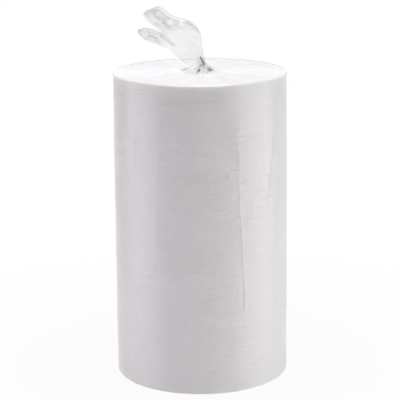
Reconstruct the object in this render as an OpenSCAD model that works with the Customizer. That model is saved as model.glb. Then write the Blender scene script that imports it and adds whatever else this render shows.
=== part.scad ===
// Absorbent roll in a clear film bag.
// A long web of white absorbent felt is wound on a spindle into one tall roll, which stands on its end.
// A clear film bag is drawn tight round it. Its mouth is gathered over the bore, closed with a twisted wire
// tie and left as a loose tuft that flops over to the left.
// Millimetres, +Z up, origin at the centre of the base. The front faces -Y.

/* [Roll] */
// Width of the web, which is the height of the standing roll
web_width = 762; // [380:1:970]
// Thickness of one wound turn of the web
web_thick = 4.55; // [3:0.05:6]
// Turns wound on the spindle
turns = 38; // [24:1:60]
// Bore that the winding spindle leaves
bore_d = 76; // [60:1:100]
// Depth of the groove between two turns at the roll's ends
groove_depth = 1.5; // [0.5:0.1:2]
// Direction of the web's loose end, in degrees from +X
tail_angle = -62; // [-180:1:180]

/* [Bag] */
// Wall of the film, drawn thicker than real film so that it stays a sound solid
film = 0.8; // [0.6:0.1:1.2]
// Slack between the film and the roll
slack = 0.4; // [0.3:0.1:1]
// Rounding where the film turns under the roll
foot_round = 8; // [5:1:14]
// Rounding where the film turns over the roll's top edge
shoulder_round = 6; // [4:1:12]
// Height of the long creases in the side
crease_rise = 1.6; // [0.6:0.1:2.4]

/* [Gather] */
// Folds that run from the top's edge to the neck
gathers = 14; // [7:7:14]
// Height of those folds where they stand highest
gather_rise = 7; // [3:0.5:10]
// Height of the neck above the bag's top
neck_rise = 17; // [16:1:40]
// Neck's distance to the right of the roll's axis
neck_offset = 6; // [-12:1:12]
// Diameter of the gathered neck
neck_d = 20; // [16:1:30]
// Length of the neck that the tie holds
neck_seat = 6; // [4:0.5:10]
// Way through the middle of the gathered film
neck_bore_d = 6; // [4:0.5:10]
// Lean of the neck to the left, in degrees from upright
neck_lean = 38; // [0:1:45]

/* [Tuft] */
// Longest reach of the bag's mouth from the neck
tuft_reach = 192; // [120:1:240]
// Depth of the tuft from front to back
tuft_depth = 66; // [44:1:90]
// Lowest direction of the fan, in degrees above the left horizontal
fan_low = 24; // [16:1:32]
// Highest direction of the fan, in degrees above the left horizontal
fan_high = 90; // [80:1:110]
// Depth of the pleats in the tuft's sheets
pleat_rise = 5; // [2:0.5:7]
// Distance by which the lower lip of the mouth comes forward
lip_forward = 24; // [0:1:30]
// Distance by which the upper lip of the mouth goes back
lip_back = 14; // [0:1:20]

/* [Tie] */
// Diameter of the tie's coated wire
wire_d = 1.6; // [1.2:0.1:2.4]
// Length of the tie's twisted end
twist_len = 22; // [12:1:30]
// Full turns in the twisted end
twist_turns = 3; // [2:1:5]
// Place of the twist round the neck, in degrees, where 270 is the front
twist_angle = 292; // [250:1:310]
// Clearance between the wire and the film, and between the two twisted wires
wire_gap = 0.2; // [0.15:0.05:0.3]

/* [Hidden] */

// Points round the bag, a multiple of the gathers
columns = 84;
// Facets of a round edge, over a quarter circle
round_steps = 3;
// Rings of points up the side, up the tuft and round the tie
side_rings = 6;
tuft_rings = 9;
wire_sides = 8;
loop_points = 40;
twist_points = 20;

// Roll
bore_r = bore_d / 2;
half_turn = web_thick / 2;
roll_r = bore_r + half_turn + turns * web_thick;
roll_z = film;
roll_top_z = roll_z + web_width;

// Bag, whose flat facets keep their slack at mid width too
facet_share = cos(180 / columns);
bag_in_r = (roll_r + slack) / facet_share;
bag_r = bag_in_r + film;
top_in_z = roll_top_z + slack;
top_z = top_in_z + film;
side_low_z = foot_round;
side_high_z = top_z - shoulder_round;

// Long creases in the side: turn share at the foot, turn share at the head, lowest and highest height share
crease_shares = [
    [0.588, 0.624, 0.30, 0.94],
    [0.630, 0.560, 0.05, 0.42],
    [0.838, 0.812, 0.10, 0.95],
    [0.842, 0.912, 0.50, 0.98],
    [0.020, 0.034, 0.12, 0.80],
    [0.165, 0.150, 0.30, 0.95],
    [0.300, 0.318, 0.08, 0.72],
    [0.440, 0.428, 0.25, 0.93]
];
// Width of a crease as a share of a full turn, and the share of its length over which it fades out
crease_width_share = 0.011;
crease_fade_share = 0.3;

// Top of the bag, from its edge in to the neck: radius share of the bag, height share of the neck's rise,
// share of the way to the neck's place, and share of the gathers' rise
top_shares = [
    [0.88, 0.00, 0.00, 0.06],
    [0.70, 0.00, 0.00, 0.16],
    [0.50, 0.00, 0.02, 0.34],
    [0.34, 0.02, 0.10, 0.62],
    [0.24, 0.06, 0.28, 0.92],
    [0.16, 0.14, 0.55, 0.86],
    [0.10, 0.28, 0.82, 0.46]
];
// Wander of the gathers round the top, in degrees and in waves
gather_wander = 26;
gather_waves = 3;

// Neck
neck_r = neck_d / 2;
neck_bore_r = neck_bore_d / 2;
neck_axis = [-sin(neck_lean), 0, cos(neck_lean)];
neck_across = [cos(neck_lean), 0, sin(neck_lean)];
front_back = [0, 1, 0];
neck_at = [neck_offset, 0, top_z + neck_rise];
fan_at = neck_at + neck_axis * neck_seat / 2;
neck_foot_at = neck_at - neck_axis * neck_seat / 2;
// The way through starts lower than the leaning neck's lower side
bore_foot_at = neck_foot_at - neck_axis * neck_r * sin(neck_lean);

// Rim of the bag's mouth: share of the fan's sweep from its lowest direction, share of the tuft's reach.
// The deep step is the slit between the lower and the upper lip.
rim_shares = [
    [0.00, 0.80], [0.03, 0.87], [0.06, 0.91], [0.09, 0.91], [0.13, 0.88], [0.17, 0.80], [0.20, 0.71],
    [0.216, 0.65], [0.238, 0.99], [0.29, 0.97], [0.39, 0.92], [0.43, 0.90], [0.45, 0.86], [0.48, 0.75],
    [0.54, 0.67], [0.62, 0.61], [0.73, 0.57], [0.82, 0.52], [0.93, 0.43], [1.00, 0.35]
];
// Sideways place of the mouth: share of the fan's sweep, share of each lip's own distance, forward below zero
lip_shares = [[0.00, -1.0], [0.15, -1.0], [0.214, -0.4], [0.238, 0.2], [0.36, 1.0], [0.70, 0.4], [1.00, 0.0]];
// Belly of the tuft next to the neck: degrees by which its lower edge sags, and the shares of the reach and
// of the sweep over which that fades
belly_sag = 38;
belly_share = 0.48;
belly_side_share = 0.2;
// Sweep share that the inner sheet keeps clear of the fan's two edges
edge_share = 0.03;
// Reach share over which the neck's bundle opens into two sheets
opening_share = 0.3;
// Fullness of the tuft, as the degrees of a sine from the neck to the mouth
fullness = 125;
// Pleats across one sheet of the tuft
pleats = 6;

// Tie
wire_r = wire_d / 2;
loop_r = neck_r + wire_gap + wire_r;
strand_r = wire_r + wire_gap / 2;
twist_lean = 30;
// Half the gap in the loop where the two ends leave it, in degrees
loop_gap = 180 * strand_r / (PI * loop_r);

function unit(v) = v / norm(v);
function between(a, b, t) = a + (b - a) * t;
function held(t) = min(max(t, 0), 1);
function eased(t) = let (c = held(t)) c * c * (3 - 2 * c);
function turn_of(j) = 360 * j / columns;
// Smallest difference of two turn shares, from -0.5 to 0.5
function turn_gap(a, b) = let (d = a - b) d - round(d);

// Rise of the long creases at one place on the side
function crease_at(turn, height) = max([
    for (c = crease_shares)
        let (middle = between(c[0], c[1], height),
             across = turn_gap(turn, middle) / crease_width_share,
             ends = min(height - c[2], c[3] - height) / (crease_fade_share * (c[3] - c[2])))
        crease_rise * exp(-across * across) * eased(ends)
]);

// Height share of one gather, which runs from 0 in a valley to 1 on a crest
function gather_at(u) = (1 + cos(gathers * u + gather_wander * sin(gather_waves * u))) / 2;

// A level ring of the bag at radius r
function level_ring(r, z) = [for (j = [0 : columns - 1]) [r * cos(turn_of(j)), r * sin(turn_of(j)), z]];

// A quarter round of rings about centre radius r and height z, from one angle to another
function round_rings(r, z, size, from, to) = [
    for (i = [0 : round_steps])
        let (a = between(from, to, i / round_steps))
        level_ring(r + size * cos(a), z + size * sin(a))
];

// A creased ring of the side at a share of its height
function side_ring(height) = [
    for (j = [0 : columns - 1])
        let (r = bag_r + crease_at(j / columns, height))
        [r * cos(turn_of(j)), r * sin(turn_of(j)), between(side_low_z, side_high_z, height)]
];

// A gathered ring of the top, raised by its own gathers
function top_ring(s, z) = [
    for (j = [0 : columns - 1])
        let (u = turn_of(j))
        [s[2] * neck_offset + s[0] * bag_r * cos(u), s[0] * bag_r * sin(u),
         z + s[1] * neck_rise + s[3] * gather_rise * gather_at(u)]
];

// A ring of radius r across the neck
function neck_ring(at, r) = [
    for (j = [0 : columns - 1])
        at + r * (cos(turn_of(j)) * neck_across + sin(turn_of(j)) * front_back)
];

// Place across the fan of a turn u, from 0 at its lowest to 1 at its highest direction
function fan_share(u) = abs(u - 180) / 180;

// Share of the tuft's reach at one place across the fan, a share of the way out to the rim
function reach_share(across, out) = out * lookup(across, rim_shares);

// One point of the tuft: turn u from the right, share of the way out to the rim, and the sheet's inset
function tuft_point(u, out, inset) =
    let (across = fan_share(u),
         kept = inset > 0 ? min(max(across, edge_share), 1 - edge_share) : across,
         gone = reach_share(kept, out),
         reach = gone * tuft_reach,
         sag = belly_sag * (1 - eased(gone / belly_share)) * (1 - eased(kept / belly_side_share)),
         way = between(fan_low, fan_high, kept) - sag,
         swell = between(neck_r, tuft_depth / 2, sin(fullness * gone)) - inset,
         pleat = pleat_rise * gone * sin(u) * sin(u) * sin(360 * pleats * across + (u > 180 ? 0 : 180)),
         lip = lookup(kept, lip_shares),
         aside = gone * gone * lip * (lip < 0 ? lip_forward : lip_back),
         ring_r = neck_r * (1 - eased(gone / opening_share)))
    fan_at + [-reach * cos(way), swell * sin(u) + pleat + aside, reach * sin(way)]
    + ring_r * cos(u) * neck_across;

function tuft_ring(out) = [for (j = [0 : columns - 1]) tuft_point(turn_of(j), out, 0)];

// The inner sheets, which close to the neck's narrow way through
function tuft_in_ring(out) = [
    for (j = [0 : columns - 1])
        let (u = turn_of(j),
             gone = reach_share(fan_share(u), out),
             bundle = fan_at + neck_bore_r * (cos(u) * neck_across + sin(u) * front_back)
                      + gone * tuft_reach * neck_axis)
        between(bundle, tuft_point(u, out, film), eased(gone / opening_share))
];

// A closed skin through rings of points, with flat ends. From the ring where it turns back inside, its facets
// are split the other way, so that both faces of a wall bend alike.
function skin_faces(rings, sides, turns_back) = concat(
    [[for (j = [0 : sides - 1]) j]],
    [for (i = [0 : rings - 2], j = [0 : sides - 1])
        let (a = i * sides, b = a + sides, k = (j + 1) % sides)
        each i < turns_back
            ? [[a + j, b + j, b + k], [a + j, b + k, a + k]]
            : [[a + j, b + j, a + k], [b + j, b + k, a + k]]],
    [[for (j = [sides - 1 : -1 : 0]) (rings - 1) * sides + j]]
);

module skin(rings, turns_back) {
    polyhedron(points = [for (ring = rings) each ring],
               faces = skin_faces(len(rings), len(rings[0]), turns_back));
}

// What a round of that size takes off the outer corner at radius r and height z, towards way
module edge_cut(r, z, size, way) {
    difference() {
        translate([r - size, min(z, z - way * size)]) square(size);
        translate([r - size, z - way * size]) circle(size, $fn = columns);
    }
}

// Half of the winding from inner radius r: the turns are grooved at both ends and the outer edges rounded
module half_winding(r) {
    outer_r = r + turns * web_thick;
    rotate_extrude(angle = 180)
        difference() {
            polygon(concat(
                [for (k = [0 : 2 * turns]) [r + k * half_turn, roll_z + (1 - k % 2) * groove_depth]],
                [for (k = [2 * turns : -1 : 0]) [r + k * half_turn, roll_top_z - (1 - k % 2) * groove_depth]]
            ));
            edge_cut(outer_r, roll_z, foot_round, -1);
            edge_cut(outer_r, roll_top_z, shoulder_round, 1);
        }
}

// The wound web: two halves about centres half a turn apart make one true spiral
module absorbent_roll() {
    color("white")
        rotate([0, 0, tail_angle - 90]) {
            rotate([0, 0, -90]) half_winding(bore_r + half_turn);
            translate([0, -half_turn, 0]) rotate([0, 0, 90]) half_winding(bore_r);
        }
}

// The film bag in one skin: up the outside to the mouth's rim and back down the inside
module film_bag() {
    outside = concat(
        round_rings(bag_r - foot_round, foot_round, foot_round, -90, 0),
        [for (i = [1 : side_rings]) side_ring(i / (side_rings + 1))],
        round_rings(bag_r - shoulder_round, side_high_z, shoulder_round, 0, 90),
        [for (s = top_shares) top_ring(s, top_z)],
        [neck_ring(neck_foot_at, neck_r)],
        [for (i = [0 : tuft_rings]) tuft_ring(i / tuft_rings)]
    );
    inside = concat(
        [for (i = [tuft_rings : -1 : 0]) tuft_in_ring(i / tuft_rings)],
        [neck_ring(bore_foot_at, neck_bore_r)],
        [for (i = [len(top_shares) - 1 : -1 : 0]) top_ring(top_shares[i], top_in_z)],
        round_rings(bag_r - shoulder_round, side_high_z, shoulder_round - film, 90, 0),
        round_rings(bag_r - foot_round, foot_round, foot_round - film, 0, -90)
    );
    color("gainsboro", 0.4) skin(concat(outside, inside), len(outside));
}

// Centre line of one twisted wire, from the loop out to its end
function strand(side) =
    let (out = cos(twist_angle) * neck_across + sin(twist_angle) * front_back,
         along = unit(neck_axis * cos(twist_lean) + out * sin(twist_lean)),
         right = unit(cross(along, out)),
         up = cross(right, along),
         foot = neck_at + out * (loop_r + wire_d) + along * wire_d)
    [for (i = [0 : twist_points])
        let (a = 360 * twist_turns * i / twist_points + (side > 0 ? 0 : 180))
        foot + along * twist_len * i / twist_points + strand_r * (cos(a) * right + sin(a) * up)];

// Centre line of the whole wire: in along one strand, round the neck and out along the other
function tie_path() = concat(
    [for (i = [twist_points : -1 : 0]) strand(1)[i]],
    [for (i = [0 : loop_points])
        let (a = twist_angle + loop_gap + (360 - 2 * loop_gap) * i / loop_points)
        neck_at + loop_r * (cos(a) * neck_across + sin(a) * front_back)],
    strand(-1)
);

// Side vectors that are carried along a path without twisting
function carried(path) =
    let (ways = [for (i = [0 : len(path) - 1])
             unit(path[min(i + 1, len(path) - 1)] - path[max(i - 1, 0)])],
         first = unit(cross(ways[0], front_back)))
    [for (i = 0, n = first; i < len(path);
          i = i + 1, n = i < len(path) ? unit(n - (n * ways[i]) * ways[i]) : n)
        [n, cross(ways[i], n)]];

// The wire tie: a loop round the neck with its two ends twisted together
module neck_tie() {
    path = tie_path();
    sides = carried(path);
    color("dimgray")
        skin([for (i = [0 : len(path) - 1])
            [for (j = [0 : wire_sides - 1])
                let (a = -360 * j / wire_sides)
                path[i] + wire_r * (cos(a) * sides[i][0] + sin(a) * sides[i][1])]], len(path));
}

absorbent_roll();
film_bag();
neck_tie();
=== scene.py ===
"""Dresses an absorbent roll: the wound felt, its clear film bag, the wire tie and a plain studio."""
from math import atan2, cos, exp, hypot, pi, radians, sin, sqrt, tau

import bmesh
import bpy
from bpy.props import FloatProperty, FloatVectorProperty, IntProperty, PointerProperty
from mathutils import Matrix, Vector, noise


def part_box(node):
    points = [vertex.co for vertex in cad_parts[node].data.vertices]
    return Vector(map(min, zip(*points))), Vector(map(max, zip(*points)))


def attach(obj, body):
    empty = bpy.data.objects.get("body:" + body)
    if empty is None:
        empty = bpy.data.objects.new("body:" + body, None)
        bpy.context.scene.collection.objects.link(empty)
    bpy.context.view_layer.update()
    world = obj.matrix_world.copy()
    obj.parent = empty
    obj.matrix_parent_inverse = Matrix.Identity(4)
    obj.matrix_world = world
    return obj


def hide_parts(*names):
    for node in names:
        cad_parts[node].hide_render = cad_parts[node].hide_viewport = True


bl_info = {
    "name": "Bagged absorbent roll",
    "version": (1, 0, 0),
    "blender": (4, 5, 0),
    "location": "View3D > Sidebar > Roll",
    "description": "Winds a felt roll, draws a clear film bag over it and sets a plain studio",
    "category": "Object",
}

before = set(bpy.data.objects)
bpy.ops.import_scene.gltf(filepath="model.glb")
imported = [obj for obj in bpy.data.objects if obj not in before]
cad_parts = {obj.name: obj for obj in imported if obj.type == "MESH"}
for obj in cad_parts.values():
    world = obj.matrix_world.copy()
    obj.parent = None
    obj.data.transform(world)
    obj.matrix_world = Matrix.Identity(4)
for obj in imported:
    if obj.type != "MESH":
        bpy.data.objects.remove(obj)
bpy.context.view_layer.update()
ROLL_LOW, ROLL_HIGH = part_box("absorbent_roll")
MM = 0.001
FRONT_BACK = Vector((0, 1, 0))
WHITE = (1, 1, 1, 1)
# Points nearer than this count as one
NEAR = 0.01 * MM

# Points across one wound turn at the roll's ends, and rows up its side and its bore
TURN_STEPS = 4
ROLL_ROWS = 60
BORE_ROWS = 12
# Share of a turn by which the roll's spin stops short, so that the web's two ends stay apart
SPIN_GAP_SHARE = 1e-4
# Points of the wound web nearer than this merge
WEB_MERGE = 0.2 * MM
# Unevenness of the web's edges and of its face, and width and height of the face's uneven patches
EDGE_UNEVEN = 0.5 * MM
FACE_UNEVEN = 0.3 * MM
FACE_PATCH = (60 * MM, 80 * MM)

# Rows of the film under the roll, up the side, over the top, along the neck and out to the mouth
BAG_ROWS = (6, 234, 64, 3, 84)
# Steps round the foot and the shoulder of the bag
ROUND_STEPS = 6
# What is stored for each point of the film: how milky it is, how much shade is painted into its folds,
# and how tightly drawn it is
FILM_LAYERS = ("milk", "deep", "drawn")

# Long creases in the bag's side: turn share at the foot, turn share at the head, lowest and highest
# height share, and share of the full rise and shade. Turns run from +X, so 0.75 faces the front.
SIDE_CREASES = (
    (0.588, 0.624, 0.30, 0.94, 0.7),
    (0.630, 0.560, 0.05, 0.42, 0.6),
    (0.838, 0.812, 0.10, 0.95, 0.8),
    (0.842, 0.912, 0.50, 0.98, 1.0),
    (0.020, 0.034, 0.12, 0.80, 0.8),
    (0.165, 0.150, 0.30, 0.95, 1.0),
    (0.300, 0.318, 0.08, 0.72, 0.6),
    (0.440, 0.428, 0.25, 0.93, 1.0),
)
# Share of a crease's length over which it fades at either end
CREASE_FADE_SHARE = 0.3
# How far a crease sways, and how often it sways and breaks off from foot to head
CREASE_SWAY = 2.5 * MM
CREASE_SWAYS = 7.3
CREASE_BREAKS = 12.3
# Keeps the noise of one crease apart from that of the next
CREASE_APART = 47.7
# Share by which a crease draws the film's columns together, over what width, and its furthest reach
CREASE_PULL_SHARE = 0.8
CREASE_PULL_WIDTH = 20 * MM
CREASE_REACH = 120 * MM
# Level ripples of the side: length and height of one, and the patches that they come in
RIPPLE_GRAIN = (50 * MM, 8 * MM)
RIPPLE_PATCH = (150 * MM, 150 * MM)
# Slow swells under the ripples: width and height of one, and its rise
SWELL_GRAIN = (100 * MM, 120 * MM)
SWELL_RISE = 0.3 * MM
# Both fade within this many times the rounding of the foot and of the shoulder
EDGE_FADE = 2.5

# Slack folds that hang in arcs below the shoulder: turn shares of the two ends, depth in millimetres
# of the ends and of the arc's lowest point below the top, and share of the full rise and shade
SHOULDER_FOLDS = (
    (0.680, 0.752, 28, 38, 1.0),
    (0.690, 0.742, 44, 52, 0.7),
    (0.742, 0.798, 30, 40, 1.0),
    (0.700, 0.736, 58, 65, 0.6),
    (0.652, 0.702, 38, 44, 0.6),
    (0.560, 0.620, 34, 44, 0.6),
    (0.850, 0.905, 28, 36, 0.6),
    (0.960, 0.040, 30, 42, 0.8),
    (0.110, 0.190, 26, 40, 0.9),
    (0.150, 0.215, 44, 54, 0.7),
    (0.250, 0.335, 28, 44, 0.8),
    (0.390, 0.470, 32, 44, 0.9),
)
# How far a slack fold sways up and down, and its half width
SLACK_SWAY = 3 * MM
SLACK_WIDTH = 3.5 * MM

# Top of the bag from the neck out to its edge: radius share of the bag, height share of the neck's rise,
# share of the way to the neck's place, and share of the gathers' rise
TOP_RINGS = (
    (0.10, 0.54, 0.82, 0.40),
    (0.16, 0.30, 0.55, 0.50),
    (0.24, 0.11, 0.28, 0.34),
    (0.34, 0.03, 0.10, 0.20),
    (0.50, 0, 0.02, 0.13),
    (0.70, 0, 0, 0.09),
    (0.88, 0, 0, 0.05),
    (1.00, 0, 0, 0),
)
# Spacing of the top's rows at the neck as a share of an even one
ROW_SHARE = 0.45
# How far the gathers lie off even spacing, and how many fine pleats there are round the neck
GATHER_DRIFT = radians(26)
FINE_PLEATS = 37
# Share of the top's rise that the gathers give, the rest being fine pleats
CREST_SHARE = 0.7
# Faint streaks of painted shade that run in to the neck: how closely they stand round it, and how long
# they are
STREAK_CLOSENESS = 12
STREAK_LENGTH = 90 * MM
# Radius within which the film lies in many layers over the bore, and width over which that ends
BORE_COVER = 50 * MM
BORE_COVER_FADE = 30 * MM
# Power by which the tent steepens up to the neck, and share of the way at which it is milkiest
TENT_CURVE = 1.3
TENT_MILK_SHARE = 0.6
# Share of the neck's radius that its pleats take up
PINCH_SHARE = 0.10

# Sunk folds at the foot of the neck, darkened with painted shade: start and end in millimetres to the
# right of and behind the roll's axis, half width in millimetres, and how dark the fold looks
NECK_FOLDS = (
    (24, -17, 29, -26, 7.5, 1.00),
    (23, -24, 25, -31, 6.5, 1.00),
    (16, -43, 17, -46, 2.5, 0.70),
    (17, -29, 16, -49, 1.8, 0.35),
    (16, -54, 29, -50, 3.0, 0.35),
    (9, -16, 12, -18, 3.0, 0.60),
    (12, -18, 8, -45, 1.8, 0.40),
    (5, -22, 0, -27, 2.0, 0.30),
    (-1, -28, -4, -39, 3.6, 1.00),
    (-4, -40, -10, -65, 3.0, 0.50),
    (-3, -13, -12, -26, 2.5, 0.50),
    (-38, -6, -29, 6, 5.0, 1.00),
    (-26, -18, -34, -28, 2.5, 0.25),
    (24, 20, 30, 36, 3.0, 0.60),
    (1, 18, 2, 48, 3.0, 0.60),
    (-14, 20, -26, 38, 3.5, 0.70),
)
# How far the darkest of them sinks
NECK_FOLD_SINK = 1.5 * MM

# Lap of the tuft's front over the tie: share of its length, share of its distance out, share of its drop
LAP_SHARES = (
    (0, 0, 0), (0.12, 0.42, 0.15), (0.35, 1, 0.95), (0.60, 0.35, 0.70), (0.80, 0.05, 0.35), (1, 0, 0),
)
LAP_LENGTH = 18 * MM
LAP_OUT = 7 * MM
LAP_DROP = 11 * MM
# Share of the tuft's half depth at which the lap is full
LAP_FULL_SHARE = 0.5
# Turn share at which the tie's twisted end comes out, and half width of the gap for it
TIE_END_TURN = 0.811
TIE_GAP_TURN = 0.022

# Rim of the bag's mouth: share of the fan's sweep from its lowest direction, share of the tuft's reach
RIM_SHARES = (
    (0.00, 0.80), (0.03, 0.87), (0.06, 0.91), (0.09, 0.91), (0.13, 0.88), (0.17, 0.80), (0.20, 0.69),
    (0.216, 0.61), (0.238, 0.99), (0.29, 0.97), (0.39, 0.92), (0.43, 0.90), (0.45, 0.86), (0.48, 0.75),
    (0.54, 0.67), (0.62, 0.61), (0.73, 0.57), (0.82, 0.52), (0.93, 0.43), (1.00, 0.35),
)
# Unevenness of the rim as a share of the reach
RIM_UNEVEN_SHARE = 0.012

# Sideways place of the mouth: share of the fan's sweep, and share of each lip's own distance, which is
# below zero where the mouth comes forward
LIP_SHARES = (
    (0.00, -1.0), (0.15, -1.0), (0.214, -0.4), (0.238, 0.2), (0.36, 1.0), (0.70, 0.4), (1.00, 0.0),
)

# Share of the sweep by which the front sheet's slit lies above the back sheet's, and where that fades
SLIT_SHIFT_SHARE = 0.03
SLIT_FADE_SHARES = (0.3, 0.15)
# Sag of the belly at the neck, and shares of the reach and of the sweep over which it ends
BELLY_SAG = radians(38)
SAG_OUT_SHARE = 0.48
SAG_ACROSS_SHARE = 0.2
# Part of a sine wave by which the tuft deepens from the neck to its longest reach
DEPTH_WAVE = radians(125)
# Share of the reach over which the neck's ring opens
RING_SHARE = 0.3
# Pleats across each sheet
SHEET_PLEATS = 6

# Crumple of the tuft's sheets: share of the fan's sweep, share of the full crumple
CRUMPLE_SHARES = (
    (0.00, 0.80), (0.20, 0.90), (0.26, 1.00), (0.42, 1.00), (0.54, 0.70), (0.66, 0.45), (0.80, 0.80),
    (1.00, 0.80),
)
# Share of the reach at which the crumple starts across the fan, and over which it sets in
SMOOTH_SHARES = (
    (0.00, 0.46), (0.20, 0.48), (0.26, 0.52), (0.45, 0.50), (0.60, 0.42), (0.75, 0.40), (1.00, 0.24),
)
CRUMPLE_SPAN_SHARE = 0.15
# Shares of a cell's width at which it is full and at which the painted dark line between cells ends, and
# share of its rise that lies below the sheet
CELL_FULL_SHARE = 0.7
CELL_LINE_SHARE = 0.3
CELL_SINK_SHARE = 0.4
# Puckers that fan out from the neck: rise, sharpness, and shares of the reach for their start and end
PUCKER_RISE = 1.5 * MM
PUCKER_SHARPNESS = 2.6
PUCKER_START_SHARE = 0.12
PUCKER_END_SHARES = (0.15, 0.35)
# How far the sheets stray at the mouth, and over what width
STRAY = 2.5 * MM
STRAY_GRAIN = (30 * MM, 30 * MM)
# Grain of the grey patches and fine dark ridges that are painted shade in the crumple, and width share
# of a ridge
PATCH_GRAIN = (22 * MM, 22 * MM)
RIDGE_GRAIN = (13 * MM, 13 * MM)
RIDGE_SHARE = 0.2

# Sharp folds of the tuft, sunk and darkened with painted shade: start and end in millimetres left of and
# above its foot, half width in millimetres, and how dark the fold looks
TUFT_FOLDS = (
    (153, 80, 152, 73, 3.0, 0.50),
    (148, 86, 143, 86, 2.5, 0.45),
    (139, 60, 126, 56, 3.0, 0.35),
    (126, 74, 124, 70, 4.0, 0.50),
    (125, 72, 108, 64, 3.0, 0.60),
    (120, 80, 110, 74, 2.5, 0.35),
    (110, 74, 101, 78, 2.5, 0.35),
    (110, 59, 103, 53, 3.0, 0.35),
    (98, 71, 96, 69, 4.5, 0.60),
    (94, 67, 81, 60, 3.0, 0.50),
    (80, 56, 68, 48, 3.5, 0.60),
    (131, 128, 129, 120, 4.0, 0.30),
    (124, 128, 121, 127, 3.5, 0.35),
    (118, 126, 101, 109, 4.0, 0.45),
    (110, 139, 101, 138, 2.5, 0.40),
    (109, 131, 103, 130, 4.0, 0.35),
    (108, 104, 104, 105, 4.0, 0.30),
    (98, 128, 94, 124, 3.0, 0.30),
    (94, 106, 81, 92, 4.5, 0.45),
    (88, 126, 85, 122, 3.0, 0.45),
    (84, 115, 78, 113, 4.0, 0.35),
    (81, 88, 57, 88, 2.5, 0.25),
    (67, 97, 59, 98, 3.5, 0.25),
    (38, 107, 24, 99, 4.0, 0.65),
    (22, 97, 21, 87, 2.5, 0.35),
    (17, 86, 12, 82, 2.5, 0.35),
    (15, 93, 10, 88, 4.0, 0.60),
    (7, 84, 4, 78, 3.5, 0.60),
    (15, 66, 12, 64, 3.0, 0.25),
    (28, -6, 21, 0, 2.2, 0.50),
    (21, 0, 10, 9, 2.4, 0.30),
    (40, -2, 27, 1, 2.2, 0.20),
)
# How far the darkest of them sinks in the front sheet, and share of that in the back sheet
TUFT_FOLD_SINK = 4 * MM
BACK_FOLD_SHARE = 0.3
# Bubbles that the upper lip's film stands out in: middle left of and above the tuft's foot, half width
# and half height, in millimetres
TUFT_BUBBLES = ((76, 104, 15, 10), (104, 124, 12, 8), (48, 100, 11, 8))
BUBBLE_RISE = 5 * MM
# Shares of a bubble's half size at which its swell ends, and half width of the fold round it
BUBBLE_END_SHARE = 1.2
BUBBLE_RING_SHARE = 0.3
# Share of the belly that shows where it lies close over the top. It shows in full above the first band
# and right of the second, given as start and width in millimetres above and left of the tuft's foot.
BELLY_SHOWN_SHARE = 0.35
BELLY_UP = (-2, 18)
BELLY_LEFT = (4, 14)

# How milky the film is and what its folds add to that, as the share hidden of what lies behind it
BASE_MILK = 0.3
SIDE_MILK = 0.75
TOP_MILK = 0.34
CREST_MILK = 0.3
BORE_MILK = 0.4
TENT_MILK = 0.5
NECK_MILK = 0.3
PLEAT_MILK = 0.4
TUFT_MILK = 0.15
PUCKER_MILK = 0.05
TUFT_FOOT_MILK = 0.25
LAP_MILK = 0.3
RIM_MILK = 0.15
# How much painted shade its folds get, from 0 to 1
CREASE_DARK = 0.2
SLACK_DARK = 0.14
GATHER_DARK = 0.03
VALLEY_DARK = 0.06
STREAK_DARK = 0.025
TUFT_DARK = 0.02
CRUMPLE_DARK = 0.02
PATCH_DARK = 0.05
LINE_DARK = 0.02
RIDGE_DARK = 0.06
FOLD_DARK = 0.36
BUBBLE_RING_DARK = 0.05
RIM_DARK = 0.1
# Shares of the reach over which the rim is whiter and darker with painted shade, and the tuft's foot
# whiter
RIM_MILK_SHARE = 0.03
RIM_DARK_SHARE = 0.05
TUFT_FOOT_SHARE = 0.12
# Shares of the shade and of the haze that a bubble's middle loses
BUBBLE_SHADE_SHARE = 0.9
BUBBLE_HAZE_SHARE = 0.7

# Lamps that stand round the roll: name, degrees to the right of the camera's direction, distance and
# width in metres, whether it has the side light's colour, and whether the film mirrors it
STANDING_LAMPS = (
    ("front", 22, 3.2, 1.6, True, False),
    ("right", 77, 1.9, 1.8, False, True),
    ("left", -82, 1.9, 1.8, True, True),
    ("back", 180, 3.2, 1.6, True, True),
)
# Height of a standing lamp's middle, which all lamps face, and its own height
LAMP_MIDDLE = 0.27
LAMP_TALL = 0.5
# Height and width of the lamp above
TOP_LAMP_UP = 3.2
TOP_LAMP_WIDE = 2.2
# Half width of the floor, and distances at which its own shade starts to go and is gone
FLOOR_HALF = 15
FLOOR_SHADE = (0.3, 1.2)
# Share of the floor's plain white beside the roll
FLOOR_WHITE = 0.92
# Width of the camera's sensor in millimetres
SENSOR_WIDTH = 36


def linear(hex_colour):
    """Linear colour with alpha from an sRGB hex value."""
    parts = [int(hex_colour[i:i + 2], 16) / 255 for i in (1, 3, 5)]
    return tuple(c / 12.92 if c <= 0.04045 else ((c + 0.055) / 1.055) ** 2.4 for c in parts) + (1.0,)


def between(a, b, t):
    """Value at share t of the way from a to b."""
    return a + (b - a) * t


def held(t):
    """Share kept from 0 to 1."""
    return min(max(t, 0.0), 1.0)


def eased(t):
    """Share with a soft start and end."""
    t = held(t)
    return t * t * (3 - 2 * t)


def rising(value, start, span):
    """Share of the way that a value has gone from a start over a span, soft at both ends."""
    return eased((value - start) / span)


def share_at(rows, at, column=1):
    """Value of a table's column at a place between its rows, whose first column rises."""
    if at <= rows[0][0]:
        return rows[0][column]
    for low, high in zip(rows, rows[1:]):
        if at <= high[0]:
            return between(low[column], high[column], (at - low[0]) / (high[0] - low[0]))
    return rows[-1][column]


def turn_gap(a, b):
    """Smallest difference of two turn shares, from -0.5 to 0.5."""
    return a - b - round(a - b)


def noise_at(point, across, along, seed):
    """Smooth noise from -1 to 1 whose grain is so long across and along Z."""
    x, y, z = point
    return noise.noise(Vector((x / across + seed, y / across - seed, z / along + seed)))


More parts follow.
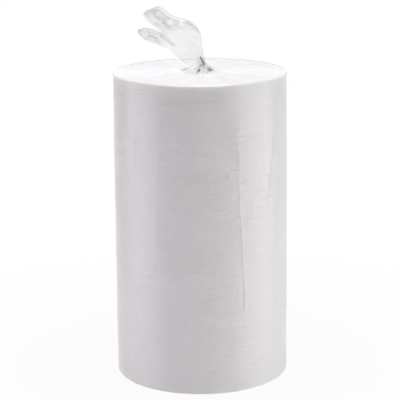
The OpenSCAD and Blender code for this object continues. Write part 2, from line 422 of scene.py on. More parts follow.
def fold_at(folds, x, z):
    """How far down the deepest of some straight folds goes at a place, as a share that also sets its
    painted shade, all in millimetres.
    """
    depth = 0.0
    for x0, z0, x1, z1, width, share in folds:
        dx, dz = x1 - x0, z1 - z0
        t = held(((x - x0) * dx + (z - z0) * dz) / (dx * dx + dz * dz))
        away = hypot(x - x0 - t * dx, z - z0 - t * dz) / width
        if away < 3:
            depth = max(depth, share * exp(-away * away))
    return depth


def length(name, description, default):
    """A length in metres that a user may change."""
    return FloatProperty(
        name=name, description=description, default=default, unit="LENGTH", subtype="DISTANCE",
    )


def angle(name, description, degrees):
    """An angle that a user may change."""
    return FloatProperty(
        name=name, description=description, default=radians(degrees),
        unit="ROTATION", subtype="ANGLE",
    )


def colour(name, description, hex_colour):
    """A colour that a user may change."""
    return FloatVectorProperty(
        name=name, description=description, default=linear(hex_colour),
        size=4, min=0, max=1, subtype="COLOR",
    )


def power(name, description, watts):
    """A lamp's power that a user may change."""
    return FloatProperty(name=name, description=description, default=watts, unit="POWER")


class FeltRollSettings(bpy.types.PropertyGroup):
    """The wound felt"""

    radius: length("Radius", "Outer radius at the loose end", 213.2 * MM)
    bore_radius: length("Bore radius", "Radius that the winding spindle leaves", 40.275 * MM)
    web: length("Web thickness", "Thickness of one wound turn", 4.55 * MM)
    groove: length("Groove depth", "Depth between two turns at the ends", 1.5 * MM)
    edge_round: length("Edge rounding", "Rounding of the outer edges", 6 * MM)
    tail_angle: angle("Loose end", "Direction of the loose end from +X", -62)
    columns: IntProperty(name="Columns", description="Steps round the roll", default=120, min=24)
    felt_colour: colour("Felt", "Colour of the bleached fibres", "#F4F3F4")
    hollow_colour: colour("Felt hollows", "Colour between the clumps of fibres", "#E6E3E7")


class FilmBagSettings(bpy.types.PropertyGroup):
    """The film drawn over the roll"""

    radius: length("Radius", "Radius of the bag's side", 214.55 * MM)
    top: length("Top", "Height of the bag's flat top", 764 * MM)
    foot_round: length("Foot rounding", "Rounding where the film turns under the roll", 8 * MM)
    shoulder_round: length("Shoulder rounding", "Rounding where the film turns over the top", 6 * MM)
    crease_rise: length("Crease rise", "Height of the long creases", 1.2 * MM)
    crease_width: length("Crease width", "Half width of a long crease", 2 * MM)
    slack_rise: length("Slack rise", "Height of the slack folds below the shoulder", 0.9 * MM)
    ripple_rise: length("Ripple rise", "Height of the level ripples in the side", 0.5 * MM)
    gathers: IntProperty(
        name="Gathers", description="Folds from the top's edge to the neck", default=14, min=7,
    )
    gather_rise: length("Gather rise", "Height of those folds", 7 * MM)
    neck_rise: length("Neck rise", "Height of the neck above the top", 17 * MM)
    neck_offset: length("Neck offset", "Neck's distance to the right of the axis", 6 * MM)
    neck_radius: length("Neck radius", "Radius of the gathered neck", 10 * MM)
    neck_seat: length("Neck seat", "Length of the neck that the tie holds", 6 * MM)
    neck_lean: angle("Neck lean", "Lean of the neck to the left", 38)
    columns: IntProperty(name="Columns", description="Steps round the bag", default=240, min=48)
    film_colour: colour("Film", "Colour of the film's haze", "#F1F0F1")
    # Painted shade: the dark colour that the film's folds are darkened towards
    painted_shade_colour: colour("Film folds", "Colour where many layers lie over each other", "#454248")


class FilmTuftSettings(bpy.types.PropertyGroup):
    """The loose mouth of the bag above its neck"""

    reach: length("Reach", "Longest reach of the mouth from the neck", 192 * MM)
    depth: length("Depth", "Depth of the tuft from front to back", 66 * MM)
    fan_low: angle("Lowest direction", "Lowest direction above the left horizontal", 24)
    fan_high: angle("Highest direction", "Highest direction above the left horizontal", 90)
    pleat_rise: length("Pleat rise", "Depth of the pleats", 5 * MM)
    lip_forward: length("Lip forward", "Distance that the lower lip comes forward", 24 * MM)
    lip_back: length("Lip back", "Distance that the upper lip goes back", 14 * MM)
    crumple_rise: length("Crumple rise", "Height of the crumpled cells", 4.5 * MM)
    crumple_size: length("Crumple size", "Width of a crumpled cell", 24 * MM)


class WireTieSettings(bpy.types.PropertyGroup):
    """The twisted wire round the neck"""

    coat_colour: colour("Coat", "Colour of the wire's plastic coat", "#55525A")


class StudioSettings(bpy.types.PropertyGroup):
    """Camera, lamps and floor"""

    camera_side: length("Camera side", "Camera's distance to the right of the axis", -2.6 * MM)
    camera_distance: length("Camera distance", "Camera's distance in front of the axis", 4.0759)
    camera_height: length("Camera height", "Camera's height above the floor", 1.4261)
    camera_pitch: angle("Camera pitch", "Tilt of the camera below the horizon", 13.629)
    camera_roll: angle("Camera roll", "Turn of the camera about its own view", -0.484)
    lens: FloatProperty(
        name="Lens", description="Focal length on a 36 mm sensor", default=150.79, unit="CAMERA",
    )
    floor_colour: colour("Floor", "Colour of the floor", "#F6F6F6")
    sky_colour: colour("Room", "Light from the pale room all round", "#1C1C1C")
    side_tint: colour("Side light", "Colour of the front, left and back lamps", "#FFF7FD")
    top_power: power("Top lamp", "Power of the lamp above", 72.5)
    front_power: power("Front lamp", "Power of the front lamp", 17)
    right_power: power("Right lamp", "Power of the right lamp", 11.8)
    left_power: power("Left lamp", "Power of the left lamp", 12)
    back_power: power("Back lamp", "Power of the back lamp", 18)


def add_node(tree, kind, inputs, **settings):
    """Adds a shader node. An input is a value, a socket, or a node whose first output is meant."""
    node = tree.nodes.new("ShaderNode" + kind)
    for name, value in settings.items():
        setattr(node, name, value)
    for key, value in inputs.items():
        if isinstance(value, bpy.types.Node):
            value = value.outputs[0]
        if isinstance(value, bpy.types.NodeSocket):
            tree.links.new(value, node.inputs[key])
        else:
            node.inputs[key].default_value = value
    return node


def new_tree(owner):
    """Empties the node tree of a material or the world and returns it."""
    owner.use_nodes = True
    owner.node_tree.nodes.clear()
    return owner.node_tree


def felt_material(roll):
    """Melt-blown polypropylene felt: matt, white, and mottled by its fine tangled fibres."""
    material = bpy.data.materials.new("melt_blown_felt")
    tree = new_tree(material)
    place = add_node(tree, "TexCoord", {}).outputs["Object"]
    # Clumps of fibres about 5 mm wide show as faint mottling
    clumps = add_node(tree, "TexNoise", {"Vector": place, "Scale": 1 / (5 * MM), "Detail": 4.0})
    # Single fibres are far thinner and are drawn 1 mm wide so that they show
    fibres = add_node(tree, "TexNoise", {"Vector": place, "Scale": 1 / (1 * MM), "Detail": 3.0})
    tint = add_node(
        tree, "Mix", {0: clumps, 6: roll.hollow_colour, 7: roll.felt_colour}, data_type="RGBA",
    )
    bump = add_node(tree, "Bump", {"Height": fibres, "Strength": 0.4, "Distance": 0.4 * MM})
    felt = add_node(
        tree, "BsdfPrincipled",
        {
            "Base Color": tint.outputs[2], "Roughness": 0.95, "IOR": 1.49, "Normal": bump,
            "Sheen Weight": 0.1, "Sheen Roughness": 0.6,
        },
    )
    add_node(tree, "OutputMaterial", {"Surface": felt})
    return material


def film_material(bag):
    """Blown low-density polythene film: hazy, milkier in its folds, with painted shade in them and a
    soft gloss.
    """
    material = bpy.data.materials.new("blown_polythene_film")
    tree = new_tree(material)
    place = add_node(tree, "TexCoord", {}).outputs["Object"]
    layers = [add_node(tree, "Attribute", {}, attribute_name=name) for name in FILM_LAYERS]
    milk, deep, drawn = (layer.outputs["Fac"] for layer in layers)
    # The stretch lines wander by up to 12 mm over about 90 mm
    drift = add_node(tree, "TexNoise", {"Vector": place, "Scale": 1 / (90 * MM), "Detail": 1.0})
    wander = add_node(
        tree, "VectorMath", {0: drift.outputs["Color"], 1: (0.0, 0.0, 24 * MM), 2: place},
        operation="MULTIPLY_ADD",
    )
    # Level stretch lines about 7 mm apart and 60 mm long, where the film is drawn round the roll
    laid = add_node(
        tree, "Mapping", {"Vector": wander, "Scale": (1 / (60 * MM), 1 / (60 * MM), 1 / (7 * MM))},
        vector_type="POINT",
    )
    lines = add_node(
        tree, "TexNoise", {"Vector": laid, "Scale": 1.0, "Detail": 2.0, "Distortion": 0.6},
        normalize=False,
    )
    # They come in patches about 150 mm wide
    patch = add_node(tree, "TexNoise", {"Vector": place, "Scale": 1 / (150 * MM), "Detail": 1.0})
    amount = add_node(
        tree, "MapRange",
        {"Value": patch, "From Min": 0.35, "From Max": 0.65, "To Min": 0.07, "To Max": 0.15},
    )
    level = add_node(tree, "Math", {0: lines, 1: amount}, operation="MULTIPLY")
    # Upright pull lines about 9 mm apart and 70 mm long run between those patches too
    stood = add_node(
        tree, "Mapping", {"Vector": place, "Scale": (1 / (9 * MM), 1 / (9 * MM), 1 / (70 * MM))},
        vector_type="POINT",
    )
    pulls = add_node(tree, "TexNoise", {"Vector": stood, "Scale": 1.0, "Detail": 1.0, "Distortion": 1.0})
    height = add_node(tree, "Math", {0: pulls, 1: 0.2, 2: level}, operation="MULTIPLY_ADD")
    bump = add_node(tree, "Bump", {"Height": height, "Strength": drawn, "Distance": 5 * MM})
    # At a glancing angle the film shows more of its white, partly its haze and partly a painted
    # reflection
    edge = add_node(tree, "LayerWeight", {"Blend": 0.3})
    sharp = add_node(tree, "Math", {0: edge.outputs["Facing"], 1: 3.0}, operation="POWER")
    clear = add_node(tree, "Math", {0: sharp, 1: 0.1, 2: milk}, operation="MULTIPLY_ADD", use_clamp=True)
    # The lines are too fine to be lit at this size, so shade is painted into their hollows a little as
    # well
    hollow = add_node(
        tree, "MapRange",
        {"Value": height, "From Min": 0.02, "From Max": 0.18, "To Min": 0.11, "To Max": 0.02},
    )
    shade = add_node(tree, "Math", {0: hollow, 1: drawn, 2: deep}, operation="MULTIPLY_ADD")
    # The painted shade hides more of what lies behind than the plain haze does, and takes its share of
    # the colour
    cover = add_node(tree, "Math", {0: clear, 1: shade}, operation="ADD", use_clamp=True)
    painted_share = add_node(tree, "Math", {0: shade, 1: cover}, operation="DIVIDE", use_clamp=True)
    tint = add_node(tree, "Mix", {0: painted_share, 6: bag.film_colour, 7: bag.painted_shade_colour}, data_type="RGBA")
    # Both faces of the film mirror, which doubles its gloss, and its level wrinkles draw it out upright
    round_axis = add_node(tree, "Tangent", {}, direction_type="RADIAL", axis="Z")
    film = add_node(
        tree, "BsdfPrincipled",
        {
            "Base Color": tint.outputs[2], "Roughness": 0.35, "IOR": 1.51, "Specular IOR Level": 1.0,
            "Anisotropic": 0.9, "Anisotropic Rotation": 0.25, "Tangent": round_axis,
            "Normal": bump, "Alpha": cover,
        },
    )
    add_node(tree, "OutputMaterial", {"Surface": film})
    return material


def wire_material(tie):
    """Soft PVC over steel wire: dark, evenly coloured and half glossy."""
    material = bpy.data.materials.new("pvc_coated_wire")
    tree = new_tree(material)
    place = add_node(tree, "TexCoord", {}).outputs["Object"]
    # Scuffs about 1.5 mm long take the gloss off in places
    scuffs = add_node(tree, "TexNoise", {"Vector": place, "Scale": 1 / (1.5 * MM), "Detail": 3.0})
    gloss = add_node(
        tree, "MapRange",
        {"Value": scuffs, "From Min": 0.35, "From Max": 0.65, "To Min": 0.3, "To Max": 0.5},
    )
    coat = add_node(
        tree, "BsdfPrincipled", {"Base Color": tie.coat_colour, "Roughness": gloss, "IOR": 1.53},
    )
    add_node(tree, "OutputMaterial", {"Surface": coat})
    return material


def finished(bm, name, material):
    """Makes an object of a bmesh, smooth shaded, with its place in its mesh."""
    for face in bm.faces:
        face.smooth = True
    mesh = bpy.data.meshes.new(name)
    bm.to_mesh(mesh)
    bm.free()
    mesh.materials.append(material)
    piece = bpy.data.objects.new(name, mesh)
    bpy.context.scene.collection.objects.link(piece)
    return piece


def stands_for(piece, node):
    """Lets a piece ride with the roll in place of a CAD node."""
    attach(piece, "root")
    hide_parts(node)


def cut_evenly(bm, parts):
    """Cuts each edge of an outline into equal parts, given as pairs of an edge and its parts."""
    for edge, count in parts:
        if count > 1:
            bmesh.ops.subdivide_edges(bm, edges=[edge], cuts=count - 1)


def spun(bm, columns, turn, merge):
    """Spins an outline round Z and merges what meets on the axis."""
    bmesh.ops.spin(
        bm, geom=bm.verts[:] + bm.edges[:], cent=(0, 0, 0), axis=(0, 0, 1), dvec=(0, 0, 0),
        angle=turn, steps=columns, use_merge=merge, use_normal_flip=False, use_duplicate=False,
    )
    bmesh.ops.remove_doubles(bm, verts=bm.verts[:], dist=NEAR)


def rounded(bm, corner, size):
    """Rounds one corner of an outline."""
    bmesh.ops.bevel(
        bm, geom=[corner], offset=size, offset_type="OFFSET", affect="VERTICES",
        segments=ROUND_STEPS, profile=0.5, material=-1,
    )


def edge_at(bm, place):
    """The edge of an outline whose middle is nearest to a place."""
    return min(bm.edges, key=lambda e: ((e.verts[0].co + e.verts[1].co) / 2 - place).length)


def wound(roll, co):
    """Draws a point of the spun rings in to the spiral, grooves the ends and rounds the outer edges."""
    low, high = ROLL_LOW.z, ROLL_HIGH.z
    r = hypot(co.x, co.y)
    way = atan2(co.y, co.x) % tau
    ring = (r - roll.bore_radius) / roll.web
    # Place along the web in turns, so that its unevenness runs on from turn to turn
    along = ring + way / tau
    # Each ring joins the next one in over the first half turn
    shift = roll.web * (1 + cos(way)) / 2 if way < pi else 0.0
    middle = between(low, high, 0.5)
    phase = abs(2 * (ring % 1.0) - 1)
    uneven = 0.5 + 0.5 * noise.noise(Vector((along * 1.3, 2.5, 0.0)))
    sink = roll.groove * phase ** 2 + EDGE_UNEVEN * uneven
    over = roll.edge_round - (roll.radius - r)
    if over > 0:
        sink = max(sink, roll.edge_round - sqrt(max(roll.edge_round ** 2 - over ** 2, 0)))
    z = middle + (co.z - middle) / (middle - low) * (middle - low - sink)
    soft = FACE_UNEVEN * (0.5 + 0.5 * noise_at(co, *FACE_PATCH, seed=4.4))
    r -= shift + (soft if ring > 1 else 0)
    return Vector((r * cos(way), r * sin(way), z))


class BagForm:
    """Where each point of the spun film goes, and how milky, dark and tightly drawn it is there."""

    def __init__(self, bag, tuft):
        # Each size is copied under its own name
        for settings in (bag, tuft):
            for name in settings.__annotations__:
                setattr(self, name, getattr(settings, name))
        lean = bag.neck_lean
        self.axis = Vector((-sin(lean), 0, cos(lean)))
        self.across = Vector((cos(lean), 0, sin(lean)))
        neck_middle = Vector((bag.neck_offset, 0, bag.top + bag.neck_rise))
        self.neck_foot = neck_middle - self.axis * bag.neck_seat / 2
        self.fan_foot = neck_middle + self.axis * bag.neck_seat / 2

    def placed(self, co):
        """New place of one point, and how milky the film is there, how much shade is painted into it and
        how tightly it is drawn.
        """
        r = hypot(co.x, co.y)
        turn = atan2(co.y, co.x) / tau % 1.0
        if co.z < NEAR:
            return co, BASE_MILK, 0.0, 0.0
        if co.z < self.top - NEAR:
            return self.side_at(turn, r, co.z)
        if r > self.neck_radius + NEAR:
            return self.top_at(turn, r)
        if co.z <= self.top + self.neck_seat + NEAR:
            return self.neck_at(turn, (co.z - self.top) / self.neck_seat)
        return self.tuft_at(turn, (co.z - self.top - self.neck_seat) / self.reach)

    def side_at(self, turn, r, z):
        """The side, drawn tight: long creases, slack folds, and ripples that fade at both ends."""
        height = held((z - self.foot_round) / (self.top - self.shoulder_round - self.foot_round))
        crease, pull = self.crease_at(turn, height)
        turn += pull / (tau * self.radius)
        u = tau * turn
        flat = Vector((self.radius * cos(u), self.radius * sin(u), z))
        patch = eased(0.5 + 1.2 * noise_at(flat, *RIPPLE_PATCH, seed=3.1))
        ripple = noise_at(flat, *RIPPLE_GRAIN, seed=7.7) * patch
        swell = noise_at(flat, *SWELL_GRAIN, seed=1.3)
        from_foot = z / (EDGE_FADE * self.foot_round)
        from_top = (self.top - z) / (EDGE_FADE * self.shoulder_round)
        drawn = eased(min(from_foot, from_top))
        slack = self.slack_at(turn, z)
        push = self.crease_rise * crease + self.slack_rise * slack
        push += drawn * (self.ripple_rise * ripple + SWELL_RISE * swell)
        stand = r * (1 + push / self.radius)
        place = Vector((stand * cos(u), stand * sin(u), z))
        # The long creases and slack folds get painted shade along them
        return place, SIDE_MILK, CREASE_DARK * crease + SLACK_DARK * slack, drawn

    def crease_at(self, turn, height):
        """Height share of the long creases, and how far they draw the film sideways."""
        crease = 0.0
        pull = 0.0
        for foot, head, low, high, share in SIDE_CREASES:
            ends = eased(min(height - low, high - height) / (CREASE_FADE_SHARE * (high - low)))
            if ends <= 0:
                continue
            sway = CREASE_SWAY * noise.noise(Vector((height * CREASE_SWAYS, head * CREASE_APART, 0.3)))
            away = turn_gap(turn, between(foot, head, height)) * tau * self.radius - sway
            if abs(away) > CREASE_REACH:
                continue
            drawn_in = CREASE_PULL_SHARE * away * ends * exp(-(away / CREASE_PULL_WIDTH) ** 2)
            pull -= drawn_in
            away -= drawn_in
            broken = noise.noise(Vector((height * CREASE_BREAKS, head * CREASE_APART, 5.3)))
            ends *= held(0.8 + 0.7 * broken)
            crease = max(crease, share * ends * exp(-(away / self.crease_width) ** 2))
        return crease, pull

    def slack_at(self, turn, z):
        """Height share of the slack folds that hang in arcs below the shoulder."""
        slack = 0.0
        for start, end, high, low, share in SHOULDER_FOLDS:
            along = ((turn - start) % 1.0) / ((end - start) % 1.0)
            if along > 1:
                continue
            bow = sin(pi * along)
            sway = SLACK_SWAY * noise.noise(Vector((along * 4, start * 40, 0.7)))
            away = self.top - z - MM * between(high, low, bow) - sway
            slack = max(slack, share * sqrt(bow) * exp(-(away / SLACK_WIDTH) ** 2))
        return slack

    def gather_at(self, turn):
        """Height share of the gathers, from 0 in a valley to 1 on a crest."""
        u = tau * turn
        return (1 + cos(self.gathers * u + GATHER_DRIFT * sin(3 * u))) / 2

    def pleat_at(self, turn):
        """Height share of the finer pleats between the gathers, spaced unevenly by two slow waves."""
        u = tau * turn
        return (1 + cos(FINE_PLEATS * u + 2.1 * sin(2 * u + 1) + 1.3 * sin(5 * u))) / 2

    def top_at(self, turn, r):
        """The top: flat at its edge, gathered towards the neck and drawn up to it as a small tent."""
        u = tau * turn
        wide = self.radius - self.shoulder_round - self.neck_radius
        left = (r - self.neck_radius) / wide
        r = self.neck_radius + wide * left * between(ROW_SHARE, 1, left)
        crest = self.gather_at(turn)
        pleat = self.pleat_at(turn)
        inner = TOP_RINGS[0][0] * self.radius
        ring = max(r, inner)
        lift, shift, gather = (share_at(TOP_RINGS, ring / self.radius, column) for column in (1, 2, 3))
        rise = self.gather_rise * gather * between(pleat, crest, CREST_SHARE)
        place = Vector((
            shift * self.neck_offset + ring * cos(u), ring * sin(u),
            self.top + lift * self.neck_rise + rise,
        ))
        # Over the bore the film lies in many layers, which look whiter
        layers = 1 - rising(r, BORE_COVER, BORE_COVER_FADE)
        milk = TOP_MILK + CREST_MILK * gather * crest + BORE_MILK * layers
        beside = STREAK_CLOSENESS * cos(u), STREAK_CLOSENESS * sin(u)
        streak = noise.noise(Vector((*beside, ring / STREAK_LENGTH)))
        # Painted shade on the gathers, darkest in their valleys, and in faint streaks
        deep = gather * (GATHER_DARK + VALLEY_DARK * (1 - crest) * (1 - pleat))
        deep += STREAK_DARK * max(streak, 0)
        if r < inner:
            drawn = (inner - r) / (inner - self.neck_radius)
            neck = self.neck_foot + self.neck_ring(turn)
            up = between(place.z, neck.z, drawn ** TENT_CURVE)
            place = Vector((between(place.x, neck.x, drawn), between(place.y, neck.y, drawn), up))
            milk = between(milk, TENT_MILK + PLEAT_MILK * pleat, eased(drawn / TENT_MILK_SHARE))
        # The neck's folds sink the film and get painted shade
        fold = fold_at(NECK_FOLDS, place.x / MM, place.y / MM)
        place.z = max(place.z - NECK_FOLD_SINK * fold, self.top)
        return place, milk, max(fold, deep), 0.0

    def neck_ring(self, turn):
        """Way out from the middle of the pleated neck to its film."""
        u = tau * turn
        pinch = 1 - PINCH_SHARE * self.pleat_at(turn)
        return self.neck_radius * pinch * (cos(u) * self.across + sin(u) * FRONT_BACK)

    def neck_at(self, turn, along):
        """The neck, pleated where the tie holds it."""
        place = self.neck_foot + self.axis * self.neck_seat * along + self.neck_ring(turn)
        return place, NECK_MILK + PLEAT_MILK * self.pleat_at(turn), 0.0, 0.0

    def tuft_at(self, turn, out):
        """The loose mouth: two sheets fanned to the left, pleated at the neck, crumpled at the lips."""
        across = abs(turn - 0.5) * 2
        # Below zero on the front sheet, as -Y is
        front = -1 if turn > 0.5 else 1
        fullness = abs(sin(tau * turn))
        # The slit of the front sheet lies a little above that of the back sheet, so it is seen through
        slit = across + SLIT_SHIFT_SHARE * front * fullness * (1 - rising(across, *SLIT_FADE_SHARES))
        uneven = RIM_UNEVEN_SHARE * noise.noise(Vector((across * 30, front, 0.5)))
        gone = out * share_at(RIM_SHARES, slit) * (1 + uneven)
        place = self.fan_at(turn, across, share_at(LIP_SHARES, slit), gone)
        # Cells of crumple, puckers, sharp folds and bubbles move the sheets in and out
        left, up = (self.fan_foot.x - place.x) / MM, (place.z - self.fan_foot.z) / MM
        near, second = noise.voronoi(place / self.crumple_size + Vector((4.2, 1.7, 9.1)))[0][:2]
        cell = second - near
        start = share_at(SMOOTH_SHARES, across)
        crumple = share_at(CRUMPLE_SHARES, across) * rising(gone, start, CRUMPLE_SPAN_SHARE)
        fan = noise.noise(Vector((across * 9, front * 3.7, gone * 1.5)))
        pucker = (1 - PUCKER_SHARPNESS * abs(fan)) * eased(gone / PUCKER_START_SHARE)
        pucker *= 1 - rising(gone, *PUCKER_END_SHARES)
        sharp = fold_at(TUFT_FOLDS, left, up) * (1.0 if front < 0 else BACK_FOLD_SHARE)
        bubble, ring = self.bubble_at(left, up)
        push = self.crumple_rise * crumple * (eased(cell / CELL_FULL_SHARE) - CELL_SINK_SHARE)
        push += PUCKER_RISE * pucker + BUBBLE_RISE * bubble - TUFT_FOLD_SINK * sharp
        place.y += front * push * fullness ** 0.6
        place.x += STRAY * gone * noise_at(place, *STRAY_GRAIN, seed=5.5)
        place.z += STRAY * gone * noise_at(place, *STRAY_GRAIN, seed=8.8)
        # The front laps over the tie
        lap = self.lap_at(turn)
        lapped = gone * self.reach / LAP_LENGTH
        over = lap * share_at(LAP_SHARES, lapped)
        place.y -= LAP_OUT * over
        place -= self.axis * LAP_DROP * lap * share_at(LAP_SHARES, lapped, 2)
        # Haze is thickest at the foot, in the lap and at the rim, and painted shade in the folds of the
        # crumple
        milk = TUFT_MILK + PUCKER_MILK * max(pucker, 0.0) + LAP_MILK * over
        milk += TUFT_FOOT_MILK * (1 - eased(gone / TUFT_FOOT_SHARE))
        milk += RIM_MILK * rising(out, 1 - RIM_MILK_SHARE, RIM_MILK_SHARE)
        milk *= 1 - BUBBLE_HAZE_SHARE * bubble ** 4
        patch = 0.5 + 0.5 * noise_at(place, *PATCH_GRAIN, seed=6.1)
        line = crumple * (1 - eased(cell / CELL_LINE_SHARE))
        ridge = 1 - eased(abs(noise_at(place, *RIDGE_GRAIN, seed=2.7)) / RIDGE_SHARE)
        deep = CRUMPLE_DARK + PATCH_DARK * patch + LINE_DARK * line + RIDGE_DARK * ridge
        deep = TUFT_DARK + crumple * deep + FOLD_DARK * sharp
        deep += BUBBLE_RING_DARK * ring if front < 0 else 0.0
        deep += RIM_DARK * rising(out, 1 - RIM_DARK_SHARE, RIM_DARK_SHARE)
        deep *= 1 - BUBBLE_SHADE_SHARE * bubble ** 4
        shown = max(rising(up, *BELLY_UP), 1 - rising(left, *BELLY_LEFT))
        shown = between(BELLY_SHOWN_SHARE, 1.0, shown)
        return place, held(milk * shown), held(deep * shown), 0.0

    def fan_at(self, turn, across, lip, gone):
        """Place in the smooth fan of the two sheets, before they crumple."""
        u = tau * turn
        reach = gone * self.reach
        sag = BELLY_SAG * (1 - eased(gone / SAG_OUT_SHARE)) * (1 - eased(across / SAG_ACROSS_SHARE))
        way = between(self.fan_low, self.fan_high, across) - sag
        swell = between(self.neck_radius, self.depth / 2, sin(DEPTH_WAVE * gone))
        phase = 0 if turn > 0.5 else pi
        pleat = self.pleat_rise * gone * sin(u) ** 2 * sin(tau * SHEET_PLEATS * across + phase)
        aside = gone ** 2 * lip * (self.lip_forward if lip < 0 else self.lip_back)
        sheet = Vector((-reach * cos(way), swell * sin(u) + pleat + aside, reach * sin(way)))
        ring_r = self.neck_radius * (1 - eased(gone / RING_SHARE))
        return self.fan_foot + sheet + ring_r * cos(u) * self.across

    def lap_at(self, turn):
        """Share by which the tuft's front laps over the tie, parted where the twisted end comes out."""
        parted = exp(-(turn_gap(turn, TIE_END_TURN) / TIE_GAP_TURN) ** 2)
        return eased(-sin(tau * turn) / LAP_FULL_SHARE) * (1 - parted)

    def bubble_at(self, left, up):
        """Swell of the bubbles in the upper lip at a place, and of the fold round them."""
        swell = 0.0
        ring = 0.0
        for x, z, wide, high in TUFT_BUBBLES:
            away = hypot((left - x) / wide, (up - z) / high)
            swell = max(swell, 1 - eased(away / BUBBLE_END_SHARE))
            ring = max(ring, exp(-((away - 1) / BUBBLE_RING_SHARE) ** 2))
        return swell, ring


class MESH_OT_wind_felt_roll(bpy.types.Operator):
    """Wind the felt web into one roll with grooved ends and a loose outer end"""

    bl_idname = "mesh.wind_felt_roll"
    bl_label = "Wind felt roll"

    def execute(self, context):
        roll = context.scene.felt_roll
        low, high = ROLL_LOW.z, ROLL_HIGH.z
        turns = round((roll.radius - roll.bore_radius) / roll.web)
        bm = bmesh.new()
        corners = [
            bm.verts.new((roll.bore_radius, 0, low)), bm.verts.new((roll.radius, 0, low)),
            bm.verts.new((roll.radius, 0, high)), bm.verts.new((roll.bore_radius, 0, high)),
        ]
        lines = [bm.edges.new(pair) for pair in zip(corners, corners[1:] + corners[:1])]
        cut_evenly(bm, zip(lines, (turns * TURN_STEPS, ROLL_ROWS, turns * TURN_STEPS, BORE_ROWS)))
        spun(bm, roll.columns, tau * (1 - SPIN_GAP_SHARE), False)
        for vert in bm.verts:
            vert.co = wound(roll, vert.co)
        turned = Matrix.Rotation(roll.tail_angle, 3, "Z")
        bmesh.ops.rotate(bm, verts=bm.verts[:], cent=(0, 0, 0), matrix=turned)
        bmesh.ops.remove_doubles(bm, verts=bm.verts[:], dist=WEB_MERGE)
        bmesh.ops.holes_fill(bm, edges=[e for e in bm.edges if e.is_boundary], sides=0)
        bmesh.ops.recalc_face_normals(bm, faces=bm.faces[:])
        piece = finished(bm, "felt_roll", felt_material(roll))
        stands_for(piece, "absorbent_roll")
        return {"FINISHED"}


class MESH_OT_draw_film_bag(bpy.types.Operator):
    """Draw the clear bag over the roll, gather its mouth to a neck and fan the mouth out above it"""

    bl_idname = "mesh.draw_film_bag"
    bl_label = "Draw film bag"

    def execute(self, context):
        bag = context.scene.film_bag
        tuft = context.scene.film_tuft
        rim = bag.top + bag.neck_seat + tuft.reach
        outline = (
            (0, 0, 0), (bag.radius, 0, 0), (bag.radius, 0, bag.top), (bag.neck_radius, 0, bag.top),
            (bag.neck_radius, 0, bag.top + bag.neck_seat), (bag.neck_radius, 0, rim),
        )
        bm = bmesh.new()
        corners = [bm.verts.new(place) for place in outline]
        for pair in zip(corners, corners[1:]):
            bm.edges.new(pair)
        rounded(bm, corners[1], bag.foot_round)
        rounded(bm, corners[2], bag.shoulder_round)
        lines = [edge_at(bm, (Vector(a) + Vector(b)) / 2) for a, b in zip(outline, outline[1:])]
        cut_evenly(bm, zip(lines, BAG_ROWS))
        spun(bm, bag.columns, tau, True)
        bmesh.ops.recalc_face_normals(bm, faces=bm.faces[:])
        # Each point keeps its haze, its painted shade and how tightly it is drawn
        milk, deep, drawn = (bm.verts.layers.float.new(name) for name in FILM_LAYERS)
        form = BagForm(bag, tuft)
        for vert in bm.verts:
            vert.co, vert[milk], vert[deep], vert[drawn] = form.placed(vert.co.copy())
        piece = finished(bm, "clear_bag", film_material(bag))
        # Clear film lets the lamps through and throws no shadow worth seeing
        piece.visible_shadow = False
        stands_for(piece, "film_bag")
        return {"FINISHED"}


class OBJECT_OT_coat_wire_tie(bpy.types.Operator):
    """Give the twisted wire its plastic coat"""

    bl_idname = "object.coat_wire_tie"
    bl_label = "Coat wire tie"

    def execute(self, context):
        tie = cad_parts["neck_tie"]
        for slot in tie.material_slots:
            slot.material = wire_material(context.scene.wire_tie)
        return {"FINISHED"}


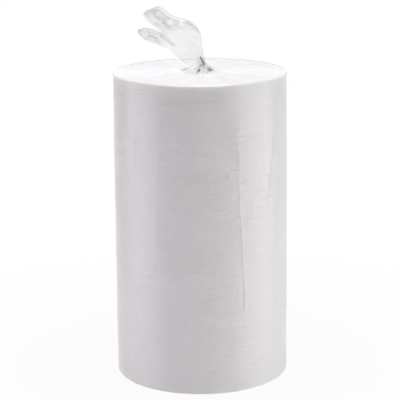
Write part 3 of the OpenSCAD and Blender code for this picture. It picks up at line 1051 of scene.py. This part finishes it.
class SCENE_OT_set_studio(bpy.types.Operator):
    """Set the camera, the pale floor, the room's light and five soft lamps"""

    bl_idname = "scene.set_studio"
    bl_label = "Set studio"

    def execute(self, context):
        studio = context.scene.studio
        context.scene.view_settings.view_transform = "Standard"
        lens = bpy.data.cameras.new("camera")
        lens.sensor_width = SENSOR_WIDTH
        lens.lens = studio.lens
        camera = bpy.data.objects.new("camera", lens)
        camera.location = (studio.camera_side, -studio.camera_distance, studio.camera_height)
        tilt = Matrix.Rotation(pi / 2 - studio.camera_pitch, 3, "X")
        camera.rotation_euler = (tilt @ Matrix.Rotation(studio.camera_roll, 3, "Z")).to_euler()
        context.scene.collection.objects.link(camera)
        context.scene.camera = camera
        self.lay_floor(context, studio)
        self.light_room(context, studio)
        size = (TOP_LAMP_WIDE, TOP_LAMP_WIDE)
        self.hang_lamp(context, "top_lamp", (0, 0, TOP_LAMP_UP), size, studio.top_power, WHITE)
        for name, degrees, away, wide, tinted, mirrored in STANDING_LAMPS:
            way = radians(degrees)
            place = (away * sin(way), -away * cos(way), LAMP_MIDDLE)
            watts = getattr(studio, name + "_power")
            tint = studio.side_tint if tinted else WHITE
            lamp = self.hang_lamp(context, name + "_lamp", place, (wide, LAMP_TALL), watts, tint)
            lamp.visible_glossy = mirrored
        return {"FINISHED"}

    def lay_floor(self, context, studio):
        """A wide pale floor, white to the camera but for the shadow."""
        material = bpy.data.materials.new("matt_paper_sweep")
        tree = new_tree(material)
        paper = add_node(tree, "BsdfDiffuse", {"Color": studio.floor_colour})
        white = add_node(tree, "Emission", {"Color": WHITE, "Strength": 1.0})
        # The paper shows a little of its own shade round the roll and turns to plain white further out
        place = add_node(tree, "TexCoord", {}).outputs["Object"]
        away = add_node(tree, "VectorMath", {0: place}, operation="LENGTH").outputs["Value"]
        near, far = FLOOR_SHADE
        bare = add_node(
            tree, "MapRange",
            {"Value": away, "From Min": near, "From Max": far, "To Min": FLOOR_WHITE, "To Max": 1.0},
        )
        seen = add_node(tree, "Math", {0: self.seen_by_eye(tree), 1: bare}, operation="MULTIPLY")
        mixed = add_node(tree, "MixShader", {0: seen, 1: paper, 2: white})
        add_node(tree, "OutputMaterial", {"Surface": mixed})
        bm = bmesh.new()
        bmesh.ops.create_grid(bm, x_segments=4, y_segments=4, size=FLOOR_HALF)
        finished(bm, "floor", material)

    def light_room(self, context, studio):
        """The pale room: white where it is seen or mirrored, dim as a light."""
        world = bpy.data.worlds.new("pale_room")
        context.scene.world = world
        tree = new_tree(world)
        seen = self.seen_by_eye(tree)
        tone = add_node(tree, "Mix", {0: seen, 6: studio.sky_colour, 7: WHITE}, data_type="RGBA")
        sky = add_node(tree, "Background", {"Color": tone.outputs[2], "Strength": 1.0})
        add_node(tree, "OutputWorld", {"Surface": sky})

    def seen_by_eye(self, tree):
        """A node that gives 1 for rays from the camera, from a mirror image or through glass."""
        rays = add_node(tree, "LightPath", {}).outputs
        mirrored = add_node(
            tree, "Math", {0: rays["Is Camera Ray"], 1: rays["Is Glossy Ray"]}, operation="MAXIMUM",
        )
        return add_node(tree, "Math", {0: mirrored, 1: rays["Is Transmission Ray"]}, operation="MAXIMUM")

    def hang_lamp(self, context, name, place, size, watts, tint):
        """A wide soft lamp that faces the roll and isn't seen itself."""
        light = bpy.data.lights.new(name, "AREA")
        light.shape = "RECTANGLE"
        light.size, light.size_y = size
        light.energy = watts
        light.color = tint[:3]
        lamp = bpy.data.objects.new(name, light)
        lamp.location = place
        aim = Vector((0, 0, LAMP_MIDDLE)) - Vector(place)
        lamp.rotation_euler = aim.to_track_quat("-Z", "Y").to_euler()
        lamp.visible_camera = False
        context.scene.collection.objects.link(lamp)
        return lamp


class VIEW3D_PT_bagged_roll(bpy.types.Panel):
    """Sizes, colours and steps of the bagged roll"""

    bl_idname = "VIEW3D_PT_bagged_roll"
    bl_label = "Bagged roll"
    bl_space_type = "VIEW_3D"
    bl_region_type = "UI"
    bl_category = "Roll"

    def draw(self, context):
        for name, _, step in GROUPS:
            box = self.layout.box()
            settings = getattr(context.scene, name)
            for key in settings.__annotations__:
                box.prop(settings, key)
            if step:
                box.operator(step)


# Name and kind of each group of settings, and the operator that follows it in the panel
GROUPS = (
    ("felt_roll", FeltRollSettings, "mesh.wind_felt_roll"),
    ("film_tuft", FilmTuftSettings, ""),
    ("film_bag", FilmBagSettings, "mesh.draw_film_bag"),
    ("wire_tie", WireTieSettings, "object.coat_wire_tie"),
    ("studio", StudioSettings, "scene.set_studio"),
)
CLASSES = (
    MESH_OT_wind_felt_roll, MESH_OT_draw_film_bag, OBJECT_OT_coat_wire_tie, SCENE_OT_set_studio,
    VIEW3D_PT_bagged_roll,
)


def register():
    """Registers the settings, the operators and the panel."""
    for name, settings, _ in GROUPS:
        bpy.utils.register_class(settings)
        setattr(bpy.types.Scene, name, PointerProperty(type=settings))
    for kind in CLASSES:
        bpy.utils.register_class(kind)


def unregister():
    """Removes them again."""
    for kind in reversed(CLASSES):
        bpy.utils.unregister_class(kind)
    for name, settings, _ in GROUPS:
        delattr(bpy.types.Scene, name)
        bpy.utils.unregister_class(settings)


def main():
    """Makes every piece and the studio."""
    register()
    bpy.ops.mesh.wind_felt_roll()
    bpy.ops.mesh.draw_film_bag()
    bpy.ops.object.coat_wire_tie()
    bpy.ops.scene.set_studio()


if __name__ == "__main__":
    main()
